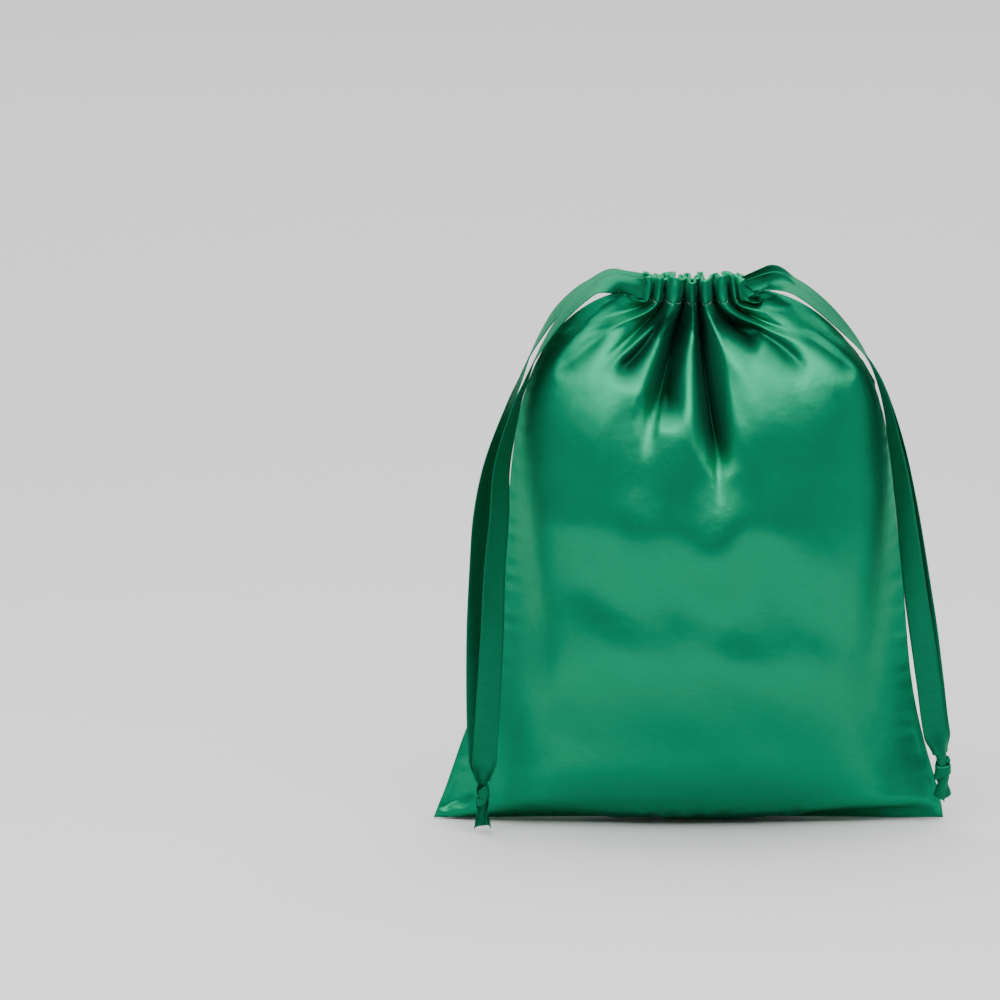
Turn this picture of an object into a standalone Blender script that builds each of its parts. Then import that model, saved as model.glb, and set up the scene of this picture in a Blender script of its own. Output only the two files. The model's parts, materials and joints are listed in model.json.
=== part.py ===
"""Double-drawstring fabric gift sack, filled out and standing.

Two satin panels are sewn together down both sides and along the bottom.  Each
panel's top is turned over into a casing, and two ribbons run through both
casings: one is drawn from the left end, the other from the right end.

Metres.  +Z is up, X runs across the width, and the front panel faces -Y.  The
origin is on the floor, under the middle of the sack.
"""
import math

import bmesh
import bpy
import numpy as np
from mathutils import Vector

# ---------------------------------------------------------------- dimensions
WALL = 0.0012               # thickness given to the fabric
GAP = 0.0003                # clearance between pieces that touch
SEAM_GAP = 0.0008           # each panel's edge to the plane of the side seam
SEAM_THICK = 0.0010         # the two allowances and their overlock
SEAM_DEPTH = 0.008          # how far the allowance reaches into the sack
SEAM_PROUD = 0.0016         # how far the sewn edge stands out past the panels

# Height, half width, half depth, roundness (0 lens, 1 ellipse) and the middle's
# distance to the right, for the filled sack from the floor up to its neck.
STATIONS = (
    (0.0000, 0.1240, 0.0125, 0.00, 0.0000),
    (0.0030, 0.1233, 0.0180, 0.05, 0.0000),
    (0.0090, 0.1215, 0.0245, 0.12, 0.0000),
    (0.0180, 0.1183, 0.0305, 0.25, 0.0006),
    (0.0300, 0.1150, 0.0370, 0.42, 0.0012),
    (0.0580, 0.1073, 0.0475, 0.65, 0.0028),
    (0.0840, 0.1020, 0.0540, 0.80, 0.0046),
    (0.1090, 0.0985, 0.0580, 0.85, 0.0054),
    (0.1340, 0.0962, 0.0595, 0.90, 0.0054),
    (0.1590, 0.0942, 0.0585, 0.90, 0.0050),
    (0.1840, 0.0919, 0.0545, 0.90, 0.0046),
    (0.2070, 0.0878, 0.0490, 0.92, 0.0044),
    (0.2220, 0.0828, 0.0440, 0.95, 0.0037),
    (0.2330, 0.0770, 0.0390, 1.00, 0.0028),
    (0.2420, 0.0700, 0.0345, 1.00, 0.0021),
    (0.2480, 0.0625, 0.0300, 1.00, 0.0015),
    (0.2530, 0.0490, 0.0250, 1.00, 0.0007),
    (0.2555, 0.0345, 0.0212, 1.00, 0.0000),
)
SEAM_TOP_STATION = 16       # the side seams stop here; the slit runs above
BASE_ROWS = 3               # rows of the flat resting strip, seam to edge
COLUMNS = 26                # faces across one panel

# Gathered casings
CASING_LOW = 0.2562         # lower edge, at the stitch row
CASING_HIGH = 0.2700        # turned edge
CASING_HALF_WIDTH = 0.0280
CASING_DEPTH_LOW = 0.0165   # middle of the casing wall from the centre plane
CASING_DEPTH_HIGH = 0.0140
CASING_END_DEPTH = 0.0056   # the same at the two ends
CASING_THICK = 0.0046       # both plies and the channel between them
CHANNEL_THICK = 0.0027
CHANNEL_MARGIN = 0.0010     # channel to the stitch row and to the turned edge
PLEATS = 5
PLEAT_HEIGHT = 0.0009
STITCH_WIDTH = 0.0010
STITCH_THICK = 0.0004
STITCH_UP = 0.0012          # stitch row above the casing's lower edge

# Ribbons
RIBBON_WIDTH = 0.012
CASING_RIBBON_WIDTH = 0.0106  # drawn in a little by the gathers
RIBBON_THICK = 0.0007
CASING_RIBBON_OFFSET = 0.00068
BUNCHED_WIDTH = 0.0050      # the ribbons bunch where they leave the casings
BIGHT_HEIGHT = 0.2602
LOOP_PIVOT_X = 0.044
LOOP_PIVOT_Z = 0.267

# Centre line of each ribbon strand from its casing end to its knot, as
# (x, y, z), then the angle its width makes with +Y, in degrees.
LEFT_FRONT_ROUTE = (
    (-0.0300, -0.0059, 0.2652, 0), (-0.0345, -0.0072, 0.2670, 0),
    (-0.0400, -0.0088, 0.2672, 0), (-0.0470, -0.0100, 0.2650, 0),
    (-0.0550, -0.0108, 0.2590, 0), (-0.0640, -0.0114, 0.2500, 0),
    (-0.0710, -0.0120, 0.2400, 5), (-0.0768, -0.0132, 0.2300, 8),
    (-0.0812, -0.0146, 0.2195, 12), (-0.0858, -0.0170, 0.2070, 20),
    (-0.0925, -0.0240, 0.1800, 40), (-0.0940, -0.0270, 0.1550, 50),
    (-0.0962, -0.0294, 0.1290, 58), (-0.0972, -0.0313, 0.1030, 66),
    (-0.0986, -0.0325, 0.0760, 75), (-0.1002, -0.0333, 0.0490, 85),
    (-0.1018, -0.0338, 0.0262, 90),
)
LEFT_BACK_ROUTE = (
    (-0.0300, 0.0059, 0.2652, 0), (-0.0345, 0.0066, 0.2676, 0),
    (-0.0400, 0.0064, 0.2680, 0), (-0.0480, 0.0052, 0.2652, 0),
    (-0.0570, 0.0036, 0.2600, 0), (-0.0660, 0.0018, 0.2515, 0),
    (-0.0730, 0.0000, 0.2415, 5), (-0.0788, -0.0015, 0.2310, 8),
    (-0.0835, -0.0035, 0.2195, 12), (-0.0890, -0.0075, 0.2060, 20),
    (-0.0975, -0.0140, 0.1790, 40), (-0.1020, -0.0182, 0.1540, 50),
    (-0.1034, -0.0213, 0.1280, 58), (-0.1042, -0.0240, 0.1020, 66),
    (-0.1042, -0.0268, 0.0760, 75), (-0.1036, -0.0292, 0.0490, 85),
    (-0.1022, -0.0308, 0.0262, 90),
)
RIGHT_FRONT_ROUTE = (
    (0.0300, -0.0045, 0.2652, 0), (0.0345, -0.0066, 0.2670, 0),
    (0.0400, -0.0086, 0.2672, 0), (0.0470, -0.0100, 0.2648, 0),
    (0.0560, -0.0110, 0.2592, 0), (0.0670, -0.0120, 0.2500, 0),
    (0.0778, -0.0135, 0.2395, -5), (0.0848, -0.0152, 0.2300, -8),
    (0.0903, -0.0172, 0.2190, -12), (0.0943, -0.0188, 0.2060, -18),
    (0.0975, -0.0202, 0.1900, -28), (0.1005, -0.0210, 0.1740, -38),
    (0.1042, -0.0211, 0.1475, -50), (0.1085, -0.0206, 0.1155, -65),
    (0.1112, -0.0201, 0.0990, -75), (0.1154, -0.0195, 0.0720, -85),
    (0.1180, -0.0192, 0.0530, -88), (0.1212, -0.0190, 0.0362, -90),
)
RIGHT_BACK_ROUTE = (
    (0.0300, 0.0045, 0.2652, 0), (0.0345, 0.0062, 0.2684, 0),
    (0.0400, 0.0070, 0.2684, 0), (0.0470, 0.0068, 0.2658, 0),
    (0.0565, 0.0056, 0.2604, 0), (0.0675, 0.0040, 0.2510, 0),
    (0.0790, 0.0015, 0.2380, -5), (0.0858, 0.0000, 0.2282, -8),
    (0.0912, -0.0015, 0.2175, -12), (0.0960, -0.0040, 0.2030, -20),
    (0.1004, -0.0070, 0.1850, -30), (0.1040, -0.0095, 0.1650, -40),
    (0.1070, -0.0112, 0.1455, -50), (0.1110, -0.0130, 0.1180, -62),
    (0.1140, -0.0142, 0.0970, -75), (0.1173, -0.0150, 0.0710, -85),
    (0.1196, -0.0155, 0.0520, -88), (0.1222, -0.0158, 0.0362, -90),
)
LEFT_KNOT = (-0.1020, -0.0323, 0.0185)
RIGHT_KNOT = (0.1230, -0.0173, 0.0285)
KNOT_SIZE = (0.0115, 0.0090, 0.0138)
TAIL_LENGTH = 0.0105
TAIL_SPLAY = 0.0016

SATIN = (0.010, 0.270, 0.120, 1.0)
SATIN_INSIDE = (0.012, 0.200, 0.095, 1.0)
RIBBON_GREEN = (0.008, 0.230, 0.100, 1.0)
THREAD = (0.240, 0.560, 0.400, 1.0)


# ------------------------------------------------------------------- helpers
def clear_scene():
    for obj in list(bpy.data.objects):
        bpy.data.objects.remove(obj, do_unlink=True)


def new_collection(name, hidden=False):
    made = bpy.data.collections.new(name)
    made.hide_render = hidden
    bpy.context.scene.collection.children.link(made)
    return made


def material(name, colour, roughness):
    made = bpy.data.materials.new(name)
    made.use_nodes = True
    shader = made.node_tree.nodes["Principled BSDF"]
    shader.inputs["Base Color"].default_value = colour
    shader.inputs["Roughness"].default_value = roughness
    made.diffuse_color = colour
    return made


def body_empty(name, location, collection):
    """The empty that a moving group hangs from, on its joint axis."""
    empty = bpy.data.objects.new(name, None)
    empty.empty_display_size = 0.01
    empty.location = location
    collection.objects.link(empty)
    return empty


def link_mesh(name, mesh, collection, colour, roughness=0.4, parent=None):
    obj = bpy.data.objects.new(name, mesh)
    collection.objects.link(obj)
    mesh.materials.append(material(name, colour, roughness))
    if parent:
        obj.location = Vector(obj.location) - parent.location
        obj.parent = parent
    return obj


def grid_mesh(name, rows, flip=False):
    """A sheet of quads through a list of equally long rows of points."""
    mesh = bmesh.new()
    made = [[mesh.verts.new(point) for point in row] for row in rows]
    for low, high in zip(made, made[1:]):
        for k in range(len(low) - 1):
            face = (low[k], low[k + 1], high[k + 1], high[k])
            mesh.faces.new(face[::-1] if flip else face)
    data = bpy.data.meshes.new(name)
    mesh.to_mesh(data)
    mesh.free()
    data.shade_smooth()
    return data


def thicken(obj, thickness, offset):
    solid = obj.modifiers.new("wall", "SOLIDIFY")
    solid.thickness = thickness
    solid.offset = offset
    solid.use_even_offset = False
    return solid


def smooth_curve(points, count):
    """count points on a centripetal Catmull-Rom curve through the points."""
    points = np.array(points, float)
    ends = (2 * points[0] - points[1], 2 * points[-1] - points[-2])
    padded = np.vstack([ends[0], points, ends[1]])
    dense = []
    for k in range(len(points) - 1):
        p0, p1, p2, p3 = padded[k:k + 4]
        for t in np.linspace(0, 1, 24, endpoint=False):
            dense.append(0.5 * (2 * p1 + (p2 - p0) * t
                                + (2 * p0 - 5 * p1 + 4 * p2 - p3) * t ** 2
                                + (3 * p1 - p0 - 3 * p2 + p3) * t ** 3))
    dense = np.array(dense + [points[-1]])
    steps = np.linalg.norm(np.diff(dense[:, :3], axis=0), axis=1)
    along = np.concatenate([[0], np.cumsum(steps)])
    want = np.linspace(0, along[-1], count)
    return np.stack([np.interp(want, along, column) for column in dense.T], 1)


# ------------------------------------------------------------------ the sack
def section(x_share, half_depth, roundness):
    """Distance of a panel from the centre plane, at a share of half width."""
    lens = 1 - x_share ** 2
    ellipse = math.sqrt(max(lens, 0))
    return half_depth * ((1 - roundness) * lens + roundness * ellipse)


def shares():
    """Places across a panel, closer together towards the side seams."""
    angles = np.linspace(-math.pi / 2, math.pi / 2, COLUMNS + 1)
    even = np.linspace(-1, 1, COLUMNS + 1)
    return 0.75 * np.sin(angles) + 0.25 * even


def inner_stations():
    """The stations moved in by the wall: height, half width, half depth."""
    table = np.array(STATIONS)
    z, width, depth, roundness, middle = table.T
    rise, over_x, over_y = np.gradient(z), np.gradient(width), np.gradient(depth)
    lean_x = np.hypot(rise, over_x)
    lean_y = np.hypot(rise, over_y)
    drop = -(over_x / lean_x + over_y / lean_y) / 2
    drop[0], drop[1] = -1, -0.6
    return np.stack([z - WALL * drop, width - WALL * rise / lean_x,
                     depth - WALL * rise / lean_y, roundness, middle], 1)


def panel_rows(side):
    """Inner face of one panel: side is -1 for the front, +1 for the back."""
    stations = inner_stations()
    rows = []
    for k in range(BASE_ROWS):
        reach = stations[0][2] * k / BASE_ROWS
        rows.append([
            (s * stations[0][1],
             side * (SEAM_GAP + section(s, reach, 0)), stations[0][0])
            for s in shares()
        ])
    for z, half_width, half_depth, roundness, middle in stations:
        rows.append([
            (middle + s * half_width,
             side * (SEAM_GAP + section(s, half_depth, roundness)), z)
            for s in shares()
        ])
    return rows


def make_panel(name, side, collection):
    mesh = grid_mesh(name, panel_rows(side), flip=side > 0)
    obj = link_mesh(name, mesh, collection, SATIN, 0.35)
    thicken(obj, WALL, 1)
    return obj


def side_edge(side):
    """Outer edge of a side seam, as (distance out, z), from corner to slit."""
    used = STATIONS[2:SEAM_TOP_STATION + 1]
    return smooth_curve([(w + side * m, z, 0) for z, w, _, _, m in used],
                        22)[:, :2]


def make_side_seam(name, side, collection):
    """The two allowances, sewn and overlocked, standing in the side seam."""
    edge = side_edge(side)
    run = np.gradient(edge, axis=0)
    run /= np.linalg.norm(run, axis=1)[:, None]
    normal = np.stack([run[:, 1], -run[:, 0]], 1)
    normal[:, 1] *= np.clip((edge[:, 1] - edge[0, 1]) / 0.02, 0, 1)
    outer = edge + (SEAM_PROUD - WALL) * normal
    inner = edge - SEAM_DEPTH * normal
    rows = [[(side * x, 0, z) for x, z in line] for line in (inner, outer)]
    mesh = grid_mesh(name, rows, flip=side > 0)
    obj = link_mesh(name, mesh, collection, THREAD, 0.7)
    thicken(obj, SEAM_THICK, 0)
    return obj


def make_bottom_seam(collection):
    half = STATIONS[2][1] - 0.0005
    top = STATIONS[2][0] - SEAM_DEPTH * 0.06 - GAP
    rows = []
    for z in (0.0004, top):
        rows.append([(x, 0, z) for x in np.linspace(-half, half, 13)])
    mesh = grid_mesh("bottom_seam", rows)
    obj = link_mesh("bottom_seam", mesh, collection, THREAD, 0.7)
    thicken(obj, SEAM_THICK, 0)
    return obj


# --------------------------------------------------------------- the casings
def casing_middle(along, up, side):
    """A point of the casing's middle surface; along runs from -1 to 1."""
    depth = CASING_DEPTH_LOW + (CASING_DEPTH_HIGH - CASING_DEPTH_LOW) * up
    arch = (1 + math.cos(math.pi * along)) / 2
    pleat = PLEAT_HEIGHT * math.cos(math.pi * PLEATS * along)
    reach = CASING_END_DEPTH + (depth - CASING_END_DEPTH) * arch ** 0.7
    reach += pleat * arch ** 0.5
    z = CASING_LOW + (CASING_HIGH - CASING_LOW) * up
    return (along * CASING_HALF_WIDTH, side * reach, z)


def casing_point(along, up, side, out=0.0):
    """The same point moved out square to the casing, seen from above."""
    x, y, z = casing_middle(along, up, side)
    if not out:
        return (x, y, z)
    step = 0.004
    ax, ay, _ = casing_middle(max(-1, along - step), up, side)
    bx, by, _ = casing_middle(min(1, along + step), up, side)
    length = math.hypot(bx - ax, by - ay)
    nx, ny = (by - ay) / length, -(bx - ax) / length
    if ny * side < 0:
        nx, ny = -nx, -ny
    return (x + out * nx, y + out * ny, z)


def casing_rows(side, low, high, stretch, out=0.0, count=49):
    """Rows up the casing.  stretch carries the ends straight on past it."""
    rows = []
    for up in (low, high):
        row = [casing_point(a, up, side, out) for a in np.linspace(-1, 1, count)]
        if stretch:
            first, last = row[0], row[-1]
            row.insert(0, (first[0] - stretch, first[1], first[2]))
            row.append((last[0] + stretch, last[1], last[2]))
        rows.append(row)
    return rows


def make_casing(name, side, collection, cutters, parent):
    """Two plies round an open channel, closed by the fold and the stitches."""
    height = CASING_HIGH - CASING_LOW
    margin = CHANNEL_MARGIN / height
    mesh = grid_mesh(name, casing_rows(side, 0, 1, 0), flip=side > 0)
    obj = link_mesh(name, mesh, collection, SATIN, 0.35, parent)
    thicken(obj, CASING_THICK, 0)
    rows = casing_rows(side, margin, 1 - margin, 0.004)
    hollow = bpy.data.objects.new(
        name + "_channel_cutter",
        grid_mesh(name + "_channel_cutter", rows, flip=side > 0))
    cutters.objects.link(hollow)
    hollow.location = -parent.location
    hollow.parent = parent
    hollow.hide_render = True
    hollow.display_type = "WIRE"
    thicken(hollow, CHANNEL_THICK, 0)
    cut = obj.modifiers.new("channel", "BOOLEAN")
    cut.operation = "DIFFERENCE"
    cut.solver = "EXACT"
    cut.object = hollow
    return obj


def make_casing_stitch(name, side, collection, parent):
    """The row of thread that closes the casing along its lower edge."""
    height = CASING_HIGH - CASING_LOW
    low = (STITCH_UP - STITCH_WIDTH / 2) / height
    high = (STITCH_UP + STITCH_WIDTH / 2) / height
    out = CASING_THICK / 2 + GAP + STITCH_THICK / 2
    mesh = grid_mesh(name, casing_rows(side, low, high, 0, out, 33),
                     flip=side > 0)
    obj = link_mesh(name, mesh, collection, THREAD, 0.6, parent)
    thicken(obj, STITCH_THICK, 0)
    return obj


def make_casing_ribbon(name, side, out, collection, parent):
    """The stretch of one ribbon that lies inside a casing."""
    height = CASING_HIGH - CASING_LOW
    spare = (height - CASING_RIBBON_WIDTH) / 2 / height
    rows = casing_rows(side, spare, 1 - spare, 0, out, 33)
    mesh = grid_mesh(name, rows, flip=side > 0)
    obj = link_mesh(name, mesh, collection, RIBBON_GREEN, 0.4, parent)
    thicken(obj, RIBBON_THICK, 0)
    return obj


# --------------------------------------------------------------- the ribbons
def ribbon_mesh(name, stretch, widths, tilts):
    """A flat strip along points of (x, y, z, width angle).

    widths holds the width at each point, and tilts how far the strip is turned
    up from level to standing on its edge, in degrees.
    """
    run = np.gradient(stretch[:, :3], axis=0)
    rows = []
    for point, direction, width, tilt in zip(stretch, run, widths, tilts):
        x, y, z, turn = point
        t = Vector(direction).normalized()
        angle = math.radians(turn)
        up = math.radians(tilt)
        across = Vector((math.sin(angle) * math.cos(up),
                         math.cos(angle) * math.cos(up), math.sin(up)))
        across = (across - across.dot(t) * t).normalized()
        centre = Vector((x, y, z))
        rows.append([centre + across * width * share
                     for share in (-0.5, 0, 0.5)])
    return grid_mesh(name, rows)


def make_ribbon(name, stretch, collection, parent=None, bunched=False):
    """A stretch of ribbon; a bunched one starts narrow and on its edge."""
    share = np.linspace(0, 1, len(stretch))
    ease = share * share * (3 - 2 * share) if bunched else np.ones(len(stretch))
    widths = BUNCHED_WIDTH + (RIBBON_WIDTH - BUNCHED_WIDTH) * ease
    mesh = ribbon_mesh(name, stretch, widths, 90 * (1 - ease))
    obj = link_mesh(name, mesh, collection, RIBBON_GREEN, 0.4, parent)
    thicken(obj, RIBBON_THICK, 0)
    return obj


def split_route(route):
    """The fixed lead up to the pivot, and the strand that hangs beyond it."""
    whole = smooth_curve(route, 240)
    beyond = np.abs(whole[:, 0]) > LOOP_PIVOT_X
    first = int(np.argmax(beyond))
    gap = 1
    lead = whole[:first - gap]
    hanging = whole[first + gap:]
    return smooth_curve(lead[::3], 10), smooth_curve(hanging[::6], 44)


def make_bight(name, side, shift, collection):
    """Where a ribbon turns back from the front casing into the back one."""
    reach = CASING_END_DEPTH + shift
    x = side * (CASING_HALF_WIDTH + 2 * GAP)
    rows = []
    for angle in np.linspace(-math.pi / 2, math.pi / 2, 15):
        px = x + side * reach * 0.55 * math.cos(angle)
        py = reach * math.sin(angle)
        rows.append([(px, py, BIGHT_HEIGHT + share * BUNCHED_WIDTH)
                     for share in (-0.5, 0, 0.5)])
    obj = link_mesh(name, grid_mesh(name, rows), collection, RIBBON_GREEN, 0.4)
    thicken(obj, RIBBON_THICK, 0)
    return obj


def make_knot(name, centre, collection, parent):
    """The overhand knot, as a rounded lump with a waist where it turns."""
    mesh = bmesh.new()
    bmesh.ops.create_icosphere(mesh, subdivisions=2, radius=0.5)
    for vert in mesh.verts:
        x, y, z = vert.co
        around = math.atan2(y, x)
        swell = 1 + 0.10 * math.cos(2 * around + 9 * z)
        vert.co = Vector((x * swell * KNOT_SIZE[0], y * swell * KNOT_SIZE[1],
                          z * KNOT_SIZE[2]))
        vert.co += Vector(centre)
    data = bpy.data.meshes.new(name)
    mesh.to_mesh(data)
    mesh.free()
    data.shade_smooth()
    return link_mesh(name, data, collection, RIBBON_GREEN, 0.4, parent)


def make_tail(name, centre, front, collection, parent):
    """A short cut end below the knot; front is -1 or +1."""
    top = centre[2] - KNOT_SIZE[2] / 2 - GAP
    points = []
    for share in np.linspace(0, 1, 6):
        points.append((centre[0] + 0.0008 * share * front,
                       centre[1] + front * (0.0009 + TAIL_SPLAY * share),
                       top - TAIL_LENGTH * share, 90 - 8 * front * share))
    points = np.array(points)
    rows = []
    for k, (x, y, z, turn) in enumerate(points):
        width = 0.0062 + 0.0040 * k / 5
        angle = math.radians(turn)
        across = Vector((math.sin(angle), math.cos(angle), 0))
        rows.append([Vector((x, y, z)) + across * width * share
                     for share in (-0.5, 0, 0.5)])
    obj = link_mesh(name, grid_mesh(name, rows), collection, RIBBON_GREEN, 0.4,
                    parent)
    thicken(obj, RIBBON_THICK, 0)
    return obj


def make_loop(label, routes, knot, collection, parent):
    """One ribbon's hanging loop, its leads at the casings and its knot."""
    for place, route in zip(("front", "back"), routes):
        lead, strand = split_route(route)
        make_ribbon(f"{label}_ribbon_{place}_lead", lead, collection,
                    bunched=True)
        make_ribbon(f"{label}_ribbon_{place}_strand", strand, collection, parent)
    make_knot(f"{label}_ribbon_knot", knot, collection, parent)
    make_tail(f"{label}_ribbon_front_tail", knot, -1, collection, parent)
    make_tail(f"{label}_ribbon_back_tail", knot, 1, collection, parent)


def main():
    clear_scene()
    parts = new_collection("fabric_gift_sack")
    cutters = new_collection("cutters", hidden=True)
    hinge_y = CASING_DEPTH_LOW + CASING_THICK / 2 + PLEAT_HEIGHT
    front_lip = body_empty("front_lip_axis", (0, -hinge_y, CASING_LOW), parts)
    back_lip = body_empty("back_lip_axis", (0, hinge_y, CASING_LOW), parts)
    left_loop = body_empty("left_loop_axis", (-LOOP_PIVOT_X, 0, LOOP_PIVOT_Z),
                           parts)
    right_loop = body_empty("right_loop_axis", (LOOP_PIVOT_X, 0, LOOP_PIVOT_Z),
                            parts)
    make_panel("front_panel", -1, parts)
    make_panel("back_panel", 1, parts)
    make_side_seam("left_side_seam", -1, parts)
    make_side_seam("right_side_seam", 1, parts)
    make_bottom_seam(parts)
    for place, side, lip in (("front", -1, front_lip), ("back", 1, back_lip)):
        make_casing(f"{place}_casing", side, parts, cutters, lip)
        make_casing_stitch(f"{place}_casing_stitch", side, parts, lip)
        for label, out in (("left", CASING_RIBBON_OFFSET),
                           ("right", -CASING_RIBBON_OFFSET)):
            make_casing_ribbon(f"{label}_ribbon_{place}_run", side, out, parts,
                               lip)
    make_bight("left_ribbon_bight", 1, CASING_RIBBON_OFFSET, parts)
    make_bight("right_ribbon_bight", -1, -CASING_RIBBON_OFFSET, parts)
    make_loop("left", (LEFT_FRONT_ROUTE, LEFT_BACK_ROUTE), LEFT_KNOT, parts,
              left_loop)
    make_loop("right", (RIGHT_FRONT_ROUTE, RIGHT_BACK_ROUTE), RIGHT_KNOT, parts,
              right_loop)


main()
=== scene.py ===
"""Looks of the satin gift sack with two ribbon drawstrings.

The sack is one cloth simulation: two panels sewn down the sides and along the
bottom are gathered at their casings over a growing filling.  The ribbons run
through the casings, arch over the shoulders and hang to their knots.

Metres.  +Z is up, X runs across the width and the front faces -Y.
"""
import json
import math

import bmesh
import bpy
import numpy as np
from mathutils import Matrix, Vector

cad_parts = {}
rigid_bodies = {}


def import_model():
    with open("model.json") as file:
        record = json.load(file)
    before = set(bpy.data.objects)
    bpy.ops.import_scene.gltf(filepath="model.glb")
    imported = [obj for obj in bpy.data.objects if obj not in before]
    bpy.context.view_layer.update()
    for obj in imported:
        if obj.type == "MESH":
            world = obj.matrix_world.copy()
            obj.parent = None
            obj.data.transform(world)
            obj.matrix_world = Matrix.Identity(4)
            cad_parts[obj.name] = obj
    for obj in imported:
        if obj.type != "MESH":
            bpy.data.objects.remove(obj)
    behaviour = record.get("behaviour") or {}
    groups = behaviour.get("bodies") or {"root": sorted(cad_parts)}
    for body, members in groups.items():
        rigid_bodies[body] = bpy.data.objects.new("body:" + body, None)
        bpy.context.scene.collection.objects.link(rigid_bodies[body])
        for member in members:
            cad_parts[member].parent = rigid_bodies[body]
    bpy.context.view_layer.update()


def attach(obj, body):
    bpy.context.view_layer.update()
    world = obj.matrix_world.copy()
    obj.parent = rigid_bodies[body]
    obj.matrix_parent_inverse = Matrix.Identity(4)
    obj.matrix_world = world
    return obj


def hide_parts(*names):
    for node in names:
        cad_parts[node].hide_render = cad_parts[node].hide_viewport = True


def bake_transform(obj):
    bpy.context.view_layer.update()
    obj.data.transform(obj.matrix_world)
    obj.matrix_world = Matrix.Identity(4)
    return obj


for leftover in list(bpy.data.objects):
    bpy.data.objects.remove(leftover, do_unlink=True)
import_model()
scene = bpy.context.scene

# ---- dimensions
FRONT, BACK = -1, 1
MIRROR = {"left": -1, "right": 1}
PANEL_WIDTH = 0.25          # between the side seams, lying flat
PANEL_HEIGHT = 0.315        # bottom seam to the turned top edge
SLIT = 0.025                # the side seams stop this far below the top edge
CASING = 0.0135             # turned edge down to the casing's stitch row
TURNING = 0.0155            # turned edge down to the raw edge inside
CLOTH = 0.00032
PLY_GAP = 0.00135           # outer ply to the turned ply, inside the casing
ALLOWANCE = 0.0075

RIBBON_WIDTH = 0.012
RIBBON_THICK = 0.0003
BIGHT_HEIGHT = 0.2602
KNOT_HEIGHT = 0.0138

VIEW_WIDTH = 0.488          # what the camera takes in, at the sack
VIEW_CENTRE = (-0.0935, 0.0, 0.1589)
VIEW_ELEVATION = 10.0
VIEW_DISTANCE = 3.2
SENSOR = 36.0


# ---- camera
def look_at(obj, target):
    direction = Vector(target) - obj.location
    obj.rotation_euler = direction.to_track_quat("-Z", "Y").to_euler()


def add_camera():
    data = bpy.data.cameras.new("camera")
    data.sensor_width = SENSOR
    data.lens = SENSOR * VIEW_DISTANCE / VIEW_WIDTH
    camera = bpy.data.objects.new("camera", data)
    scene.collection.objects.link(camera)
    tilt = math.radians(VIEW_ELEVATION)
    camera.location = Vector(VIEW_CENTRE) + VIEW_DISTANCE * Vector(
        (0, -math.cos(tilt), math.sin(tilt)))
    look_at(camera, VIEW_CENTRE)
    scene.camera = camera


add_camera()

# ---- ribbon routes
# Each strand's route in tenths of a millimetre: x, y, z, and then the angle that
# the ribbon's width makes with +Y, in degrees.
ROUTES = {
    ("left", "front"): (
        (-300, -59, 2652, 0), (-345, -72, 2670, 0), (-400, -88, 2672, 0), (-470, -100, 2650, 0),
        (-550, -108, 2590, 0), (-640, -114, 2500, 0), (-710, -120, 2400, 5),
        (-768, -132, 2300, 8), (-812, -146, 2195, 12), (-858, -170, 2070, 20),
        (-925, -240, 1800, 40), (-940, -270, 1550, 50), (-962, -294, 1290, 58),
        (-972, -313, 1030, 66), (-986, -325, 760, 75), (-1002, -333, 490, 85),
        (-1018, -338, 262, 90)),
    ("left", "back"): (
        (-300, 59, 2652, 0), (-345, 66, 2676, 0), (-400, 64, 2680, 0), (-480, 52, 2652, 0),
        (-570, 36, 2600, 0), (-660, 18, 2515, 0), (-730, 0, 2415, 5), (-788, -15, 2310, 8),
        (-835, -35, 2195, 12), (-890, -75, 2060, 20), (-975, -140, 1790, 40),
        (-1020, -182, 1540, 50), (-1034, -213, 1280, 58), (-1042, -240, 1020, 66),
        (-1042, -268, 760, 75), (-1036, -292, 490, 85), (-1022, -308, 262, 90)),
    ("right", "front"): (
        (300, -45, 2652, 0), (345, -66, 2670, 0), (400, -86, 2672, 0), (470, -100, 2648, 0),
        (560, -110, 2592, 0), (670, -120, 2500, 0), (778, -135, 2395, -5),
        (848, -152, 2300, -8), (903, -172, 2190, -12), (943, -188, 2060, -18),
        (975, -202, 1900, -28), (1005, -210, 1740, -38), (1042, -211, 1475, -50),
        (1085, -206, 1155, -65), (1112, -201, 990, -75), (1154, -195, 720, -85),
        (1180, -192, 530, -88), (1212, -190, 362, -90)),
    ("right", "back"): (
        (300, 45, 2652, 0), (345, 62, 2684, 0), (400, 70, 2684, 0), (470, 68, 2658, 0),
        (565, 56, 2604, 0), (675, 40, 2510, 0), (790, 15, 2380, -5), (858, 0, 2282, -8),
        (912, -15, 2175, -12), (960, -40, 2030, -20), (1004, -70, 1850, -30),
        (1040, -95, 1650, -40), (1070, -112, 1455, -50), (1110, -130, 1180, -62),
        (1140, -142, 970, -75), (1173, -150, 710, -85), (1196, -155, 520, -88),
        (1222, -158, 362, -90)),
}
KNOTS = {"left": (-0.102, -0.0323, 0.0185), "right": (0.123, -0.0173, 0.0285)}


def catmull(samples, where):
    """An array read at fractional places along its first axis."""
    where = np.clip(np.asarray(where, float), 0, len(samples) - 1)
    k = np.minimum(where.astype(int), len(samples) - 2)
    t = (where - k).reshape((-1,) + (1,) * (samples.ndim - 1))
    padded = np.concatenate([2 * samples[:1] - samples[1:2], samples,
                             2 * samples[-1:] - samples[-2:-1]])
    p0, p1, p2, p3 = (padded[k + n] for n in range(4))
    return 0.5 * (2 * p1 + (p2 - p0) * t + (2 * p0 - 5 * p1 + 4 * p2 - p3) * t ** 2
                  + (3 * p1 - p0 - 3 * p2 + p3) * t ** 3)


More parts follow.
